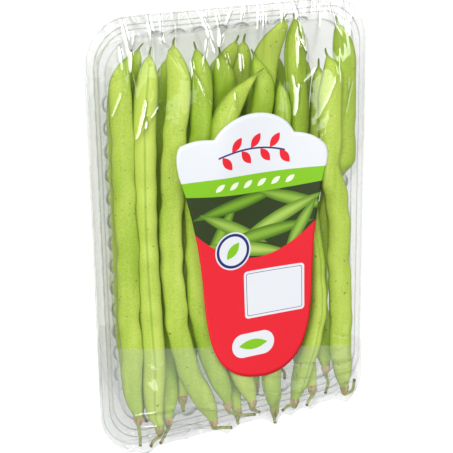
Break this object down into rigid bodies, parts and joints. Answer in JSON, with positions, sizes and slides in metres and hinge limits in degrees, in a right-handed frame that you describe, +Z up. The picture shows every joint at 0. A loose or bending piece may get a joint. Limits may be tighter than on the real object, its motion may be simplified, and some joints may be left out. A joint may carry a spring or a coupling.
{
  "type": "bean tray pack",
  "caption": "Clear fluted tray of flat green beans lying lengthways, wrapped in clear stretch film, with a shaped paper label on top.",
  "frame": {"origin": "middle of the pack's underside, below the centre of its bounding box", "axes": "+X across the tray, +Y along the beans towards their beaks, +Z up out of the tray"},
  "size_m": [0.1608, 0.2314, 0.0493],
  "materials": {
    "clear_tray": "clear, glossy",
    "bean": "waxy, slightly glossy",
    "clear_film": "clear, glossy, wrinkled",
    "label_paper": "coated paper, printed"
  },
  "bodies": {
    "root": {"tray": "clear_tray", "bean_01": "bean", "bean_02": "bean", "bean_03": "bean", "bean_04": "bean", "bean_05": "bean", "bean_06": "bean", "bean_07": "bean", "bean_08": "bean", "bean_09": "bean", "bean_10": "bean", "bean_11": "bean", "bean_12": "bean", "bean_13": "bean", "bean_14": "bean", "bean_15": "bean", "bean_16": "bean", "bean_17": "bean", "bean_18": "bean", "bean_19": "bean", "bean_20": "bean", "bean_21": "bean", "bean_22": "bean", "film": "clear_film", "label": "label_paper"}
  },
  "joints": []
}
